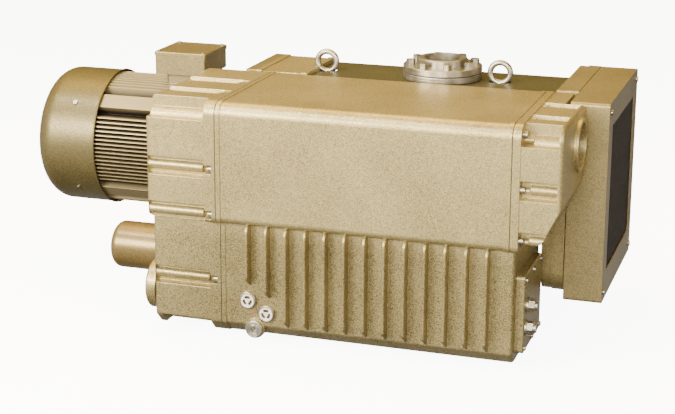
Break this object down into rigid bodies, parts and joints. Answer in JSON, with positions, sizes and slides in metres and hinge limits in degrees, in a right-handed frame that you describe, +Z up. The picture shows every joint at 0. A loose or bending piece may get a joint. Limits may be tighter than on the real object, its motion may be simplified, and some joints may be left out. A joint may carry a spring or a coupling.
{
  "type": "rotary vane vacuum pump",
  "caption": "Oil-sealed rotary vane vacuum pump: ribbed oil separator in front, flanged inlet on top, electric motor at the left and an air cooler at the right.",
  "frame": {"origin": "on the floor under the rubber feet, at the middle of the machine's length and depth", "axes": "+X along the shaft from the motor to the cooler, +Y from the separator's front panel to the rear, +Z up"},
  "size_m": [1.696, 0.813, 0.706],
  "materials": {
    "casting_paint": "champagne metallic paint on a fine cast skin",
    "motor_paint": "champagne metallic paint on cast aluminium",
    "cowl_paint": "darker olive gold metallic paint on sheet steel",
    "filter_paint": "golden brown metallic paint on a drawn can",
    "hood_paint": "dark olive metallic paint on sheet steel",
    "sheet_paint": "champagne metallic paint on sheet steel",
    "cast_iron": "painted cast iron, shaded and slightly oily",
    "bright_steel": "bright zinc plated steel",
    "machined_steel": "ground and oiled steel",
    "gasket": "black fibre gasket",
    "sight_glass": "clear glass with oil behind it",
    "rubber": "moulded black rubber",
    "vane_composite": "fibre composite",
    "filter_fleece": "glass fibre fleece",
    "radiator": "dark lacquered fins",
    "fan_plastic": "moulded black nylon",
    "float_brass": "thin brass, oily",
    "winding": "varnished copper and laminations"
  },
  "bodies": {
    "pump": {"air_hood": "hood_paint", "check_valve_guide": "machined_steel", "check_valve_spring": "machined_steel", "cooler_housing": "sheet_paint", "coupling_housing": "casting_paint", "cover_screws": "bright_steel", "cylinder_gasket": "gasket", "discharge_valve_seat": "machined_steel", "discharge_valves": "machined_steel", "drive_end_cover": "cast_iron", "end_cover_bolts": "bright_steel", "exhaust_cover": "casting_paint", "exhaust_cover_gasket": "gasket", "exhaust_filters": "filter_fleece", "fan_cowl": "cowl_paint", "fan_end_cover": "cast_iron", "fan_shroud": "sheet_paint", "float_bracket": "machined_steel", "float_chamber_cover": "casting_paint", "inlet_bolts": "bright_steel", "inlet_flange": "bright_steel", "inlet_gasket": "gasket", "inlet_screen": "machined_steel", "left_cover_gasket": "gasket", "left_end_cover": "casting_paint", "lifting_eyes": "bright_steel", "motor_bearings": "machined_steel", "motor_drive_shield": "motor_paint", "motor_flange_bolts": "bright_steel", "motor_frame": "motor_paint", "motor_rear_shield": "motor_paint", "motor_stator": "winding", "oil_drain_plug": "bright_steel", "oil_filter_canister": "filter_paint", "pan_head_screws": "bright_steel", "pump_bearings": "machined_steel", "pump_cylinder": "cast_iron", "radiator_core": "radiator", "rubber_feet": "rubber", "separator_housing": "casting_paint", "sight_glass_bezels": "bright_steel", "sight_glass_lenses": "sight_glass", "sump_end_plate": "casting_paint", "sump_plate_plugs": "bright_steel", "sump_plate_screws": "bright_steel", "terminal_box": "motor_paint", "terminal_box_lid": "motor_paint"},
    "rotor": {"pump_rotor": "machined_steel", "pump_coupling_hub": "cast_iron", "cooling_fan": "fan_plastic"},
    "motor_shaft": {"motor_rotor": "machined_steel", "motor_coupling_hub": "cast_iron", "coupling_spider": "rubber", "motor_fan": "fan_plastic"},
    "vane_one": {"vane_1": "vane_composite"},
    "vane_two": {"vane_2": "vane_composite"},
    "vane_three": {"vane_3": "vane_composite"},
    "check_valve": {"check_valve_plate": "machined_steel"},
    "float": {"float_arm": "float_brass"}
  },
  "joints": [
    {"name": "rotor_spin", "type": "hinge", "parent": "pump", "child": "rotor", "pos_m": [0.015, 0.1535, 0.4], "axis": [1, 0, 0], "continuous": true},
    {"name": "motor_spin", "type": "hinge", "parent": "pump", "child": "motor_shaft", "pos_m": [-0.438, 0.1535, 0.4], "axis": [1, 0, 0], "continuous": true},
    {"name": "vane_one_slide", "type": "slide", "parent": "rotor", "child": "vane_one", "axis": [0, -0.7071, -0.7071], "range_m": [0, 0.021]},
    {"name": "vane_two_slide", "type": "slide", "parent": "rotor", "child": "vane_two", "axis": [0, 0.9659, -0.2588], "range_m": [0, 0.0028]},
    {"name": "vane_three_slide", "type": "slide", "parent": "rotor", "child": "vane_three", "axis": [0, -0.2588, 0.9659], "range_m": [0, 0.0028]},
    {"name": "check_valve_slide", "type": "slide", "parent": "pump", "child": "check_valve", "axis": [0, 0, -1], "range_m": [0, 0.012], "stiffness_N_per_m": 900, "springref_m": -0.012, "deforming": ["check_valve_spring"]},
    {"name": "float_swing", "type": "hinge", "parent": "pump", "child": "float", "pos_m": [-0.29, -0.3045, 0.132], "axis": [0, -1, 0], "range_deg": [-9, 18]}
  ],
  "couplings": [
    {"joint": "motor_spin", "follows": "rotor_spin", "ratio": 1}
  ]
}
